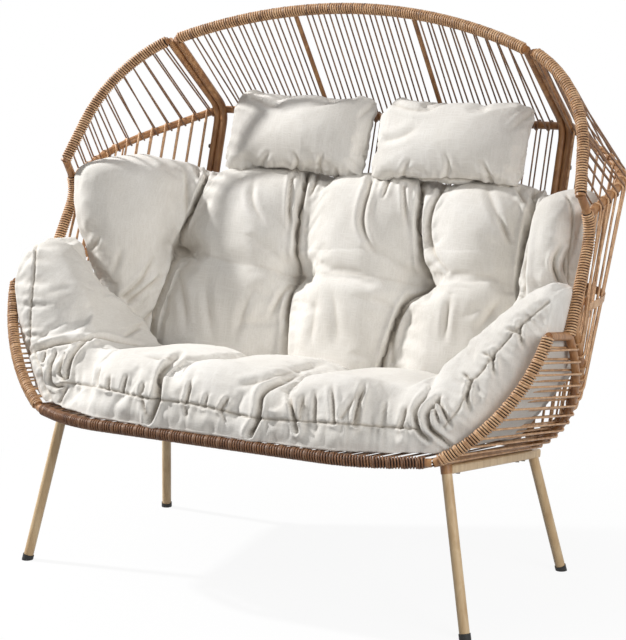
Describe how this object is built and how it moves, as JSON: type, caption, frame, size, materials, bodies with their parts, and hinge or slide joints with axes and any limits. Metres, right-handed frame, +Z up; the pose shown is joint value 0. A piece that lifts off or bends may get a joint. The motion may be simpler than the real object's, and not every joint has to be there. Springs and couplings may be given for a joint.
{
  "type": "two seat egg chair",
  "caption": "Two seat wicker egg chair with a slatted hood, wrapped rims, splayed metal legs, tufted seat and back cushions and head pillows.",
  "frame": {"origin": "middle of the overall box, at the floor under the four foot caps", "axes": "+X to the viewer's right along the seat, +Y to the back, +Z up"},
  "size_m": [1.5344, 0.9134, 1.4045],
  "materials": {
    "wicker": "woven cord",
    "brown_tube": "satin powder coat",
    "gold_tube": "satin powder coat",
    "cap": "matt",
    "bolt": "blackened",
    "linen": "linen weave"
  },
  "bodies": {
    "frame": {"centre_arch": "wicker", "crossbar": "brown_tube", "back_lower_bar": "brown_tube", "hood_strands": "wicker", "back_strands": "wicker", "front_rail": "wicker", "seat_rear_bar": "brown_tube", "seat_strands": "wicker", "back_cushion": "linen", "left_centre_rail": "brown_tube", "right_centre_rail": "brown_tube", "left_hood_rib": "brown_tube", "right_hood_rib": "brown_tube", "left_wing_arch": "wicker", "right_wing_arch": "wicker", "left_wing_end_plug": "brown_tube", "right_wing_end_plug": "brown_tube", "left_wing_rail": "brown_tube", "right_wing_rail": "brown_tube", "left_wing_post": "wicker", "right_wing_post": "wicker", "left_wing_mid_bar": "brown_tube", "right_wing_mid_bar": "brown_tube", "left_wing_lower_tube": "brown_tube", "right_wing_lower_tube": "brown_tube", "left_wing_hood_strands": "wicker", "right_wing_hood_strands": "wicker", "left_wing_wall_strands": "wicker", "right_wing_wall_strands": "wicker", "left_wing_tie_band": "wicker", "right_wing_tie_band": "wicker", "left_arm_rim": "wicker", "right_arm_rim": "wicker", "left_arm_top_tube": "brown_tube", "right_arm_top_tube": "brown_tube", "left_arm_rear_tube": "brown_tube", "right_arm_rear_tube": "brown_tube", "left_arm_bottom_tube": "brown_tube", "right_arm_bottom_tube": "brown_tube", "left_arm_strands": "wicker", "right_arm_strands": "wicker", "left_base_rail": "gold_tube", "right_base_rail": "gold_tube", "left_front_leg_socket": "brown_tube", "right_front_leg_socket": "brown_tube", "left_front_leg": "gold_tube", "right_front_leg": "gold_tube", "left_rear_leg": "gold_tube", "right_rear_leg": "gold_tube", "left_front_foot_cap": "cap", "right_front_foot_cap": "cap", "left_rear_foot_cap": "cap", "right_rear_foot_cap": "cap", "left_base_bolts": "bolt", "right_base_bolts": "bolt", "left_panel_bolts": "bolt", "right_panel_bolts": "bolt"},
    "seat_cushion": {"seat_cushion": "linen"},
    "left_head_pillow": {"left_head_pillow": "linen"},
    "right_head_pillow": {"right_head_pillow": "linen"}
  },
  "joints": [
    {"name": "seat_cushion_lift", "type": "slide", "parent": "frame", "child": "seat_cushion", "axis": [0, -0.5026, 0.8645], "range_m": [0, 1.1]},
    {"name": "left_pillow_lift", "type": "slide", "parent": "frame", "child": "left_head_pillow", "axis": [0, -0.9171, 0.3987], "range_m": [0, 0.5]},
    {"name": "right_pillow_lift", "type": "slide", "parent": "frame", "child": "right_head_pillow", "axis": [0, -0.9171, 0.3987], "range_m": [0, 0.5]}
  ]
}
